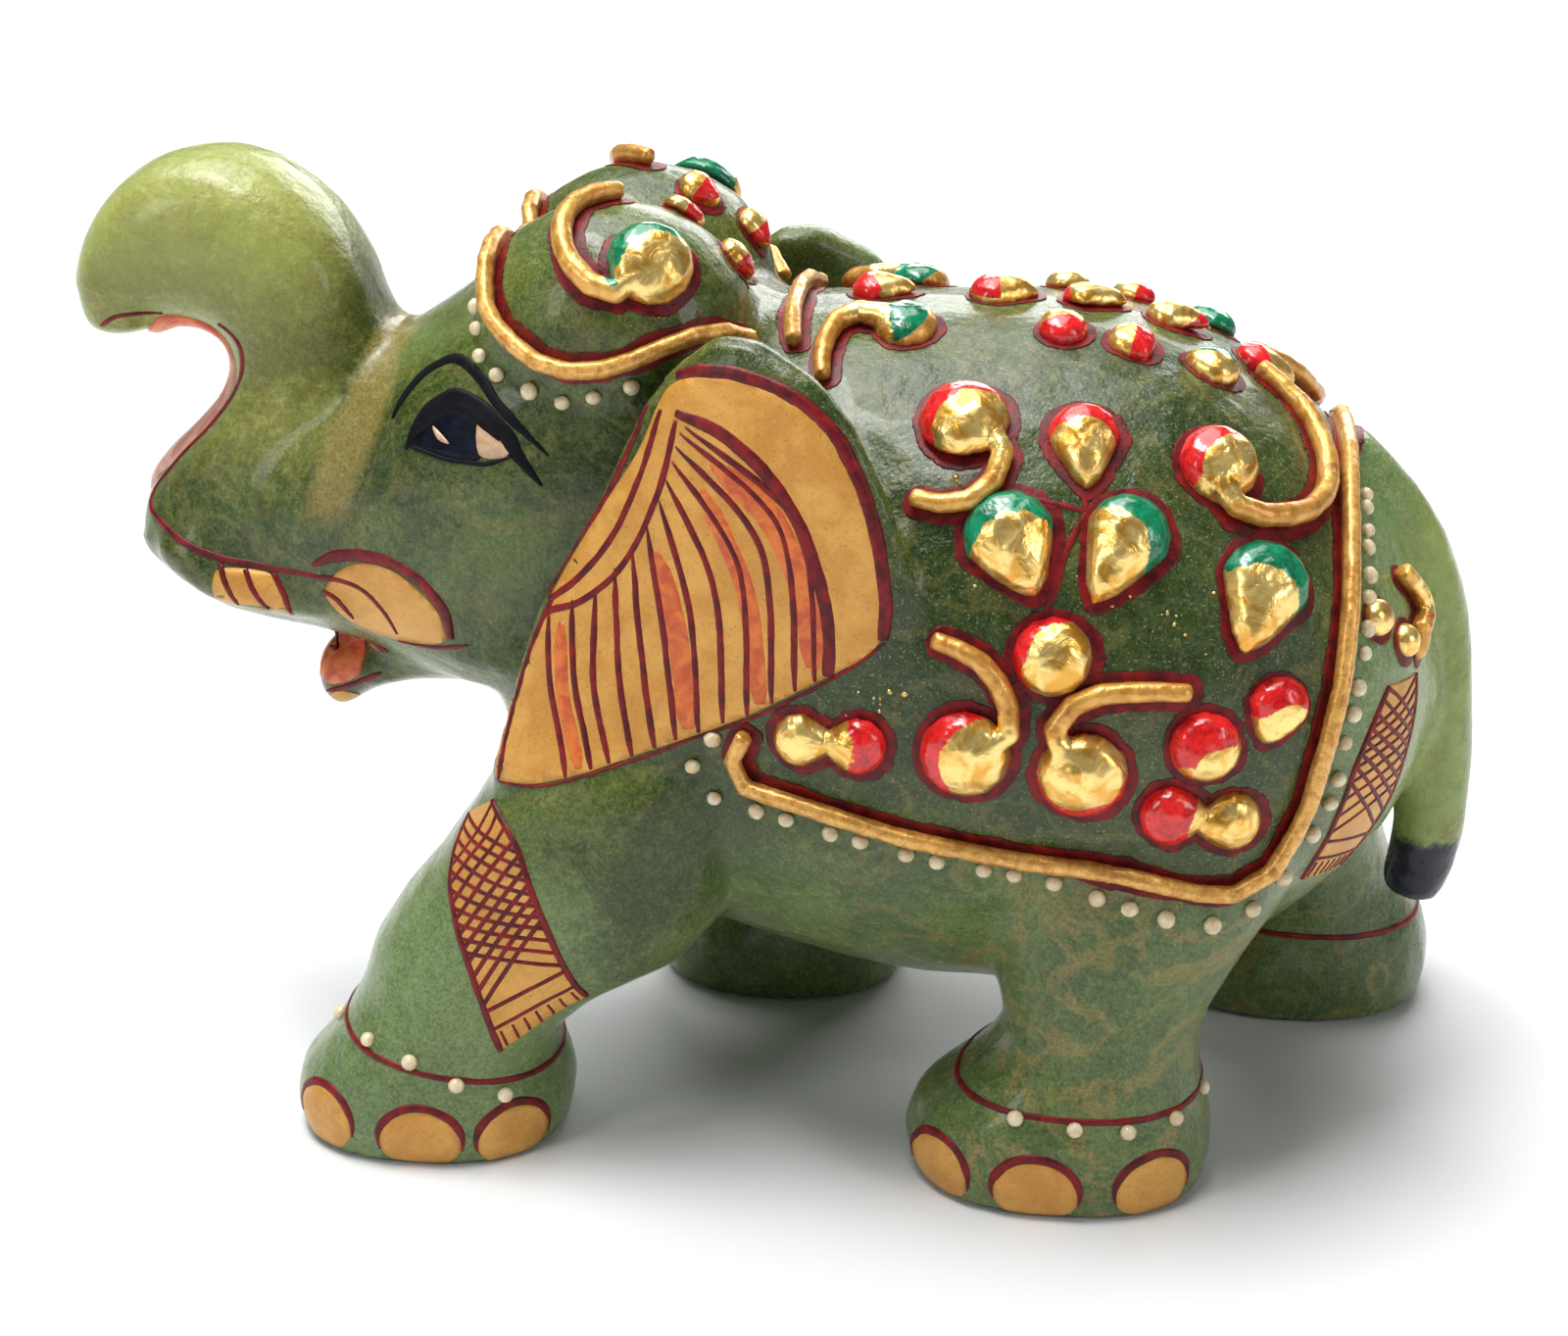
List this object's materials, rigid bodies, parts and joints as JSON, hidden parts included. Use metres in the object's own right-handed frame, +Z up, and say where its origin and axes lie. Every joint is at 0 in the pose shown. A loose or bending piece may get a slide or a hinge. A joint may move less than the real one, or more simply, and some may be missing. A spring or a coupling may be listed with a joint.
{
  "type": "elephant figurine",
  "caption": "Small walking elephant figurine carved from green stone, trunk raised, with gilded and enamelled raised ornament on head cloth and saddle cloth.",
  "frame": {"origin": "middle of the bounding box, on the ground plane under the soles", "axes": "+Z up, the animal faces -X, its left side is -Y"},
  "size_m": [0.0906, 0.0442, 0.0614],
  "materials": {
    "green_stone": "polished",
    "gilt_cord": "satin",
    "gold_leaf": "gloss",
    "red_enamel": "gloss",
    "green_enamel": "gloss",
    "pearl_paint": "satin"
  },
  "bodies": {
    "root": {"brow_cord": "gilt_cord", "bud_edge_rear_left": "red_enamel", "bud_edge_rear_right": "red_enamel", "bud_low_rear_left": "red_enamel", "bud_low_rear_right": "red_enamel", "bud_middle_left": "red_enamel", "bud_middle_right": "red_enamel", "bud_rear_top_left": "green_enamel", "bud_rear_top_right": "green_enamel", "bud_small_front_left": "red_enamel", "bud_small_front_right": "red_enamel", "bud_small_rear_left": "red_enamel", "bud_small_rear_right": "red_enamel", "carved_elephant": "green_stone", "head_bud_1_left": "red_enamel", "head_bud_1_right": "red_enamel", "head_bud_2_left": "red_enamel", "head_bud_2_right": "red_enamel", "head_cord": "gilt_cord", "head_pearls_left": "pearl_paint", "head_pearls_right": "pearl_paint", "head_scroll_left": "green_enamel", "head_scroll_right": "green_enamel", "neck_band": "gilt_cord", "petal_front_left": "green_enamel", "petal_front_right": "green_enamel", "petal_low_rear_left": "green_enamel", "petal_low_rear_right": "green_enamel", "petal_rear_left": "green_enamel", "petal_rear_right": "green_enamel", "petal_top_left": "red_enamel", "petal_top_right": "red_enamel", "ridge_drop_1": "red_enamel", "ridge_drop_2": "red_enamel", "ridge_drop_3": "red_enamel", "ridge_drop_4": "red_enamel", "ridge_drop_5": "red_enamel", "rump_pendant_left": "gold_leaf", "rump_pendant_right": "gold_leaf", "saddle_cord": "gilt_cord", "saddle_pearls_left": "pearl_paint", "saddle_pearls_right": "pearl_paint", "scroll_front_left": "red_enamel", "scroll_front_right": "red_enamel", "scroll_front_top_left": "green_enamel", "scroll_front_top_right": "green_enamel", "scroll_low_front_left": "red_enamel", "scroll_low_front_right": "red_enamel", "scroll_low_rear_left": "red_enamel", "scroll_low_rear_right": "red_enamel", "scroll_rear_left": "red_enamel", "scroll_rear_right": "red_enamel", "twin_corner_front_left": "red_enamel", "twin_corner_front_right": "red_enamel", "twin_corner_rear_left": "red_enamel", "twin_corner_rear_right": "red_enamel"}
  },
  "joints": []
}
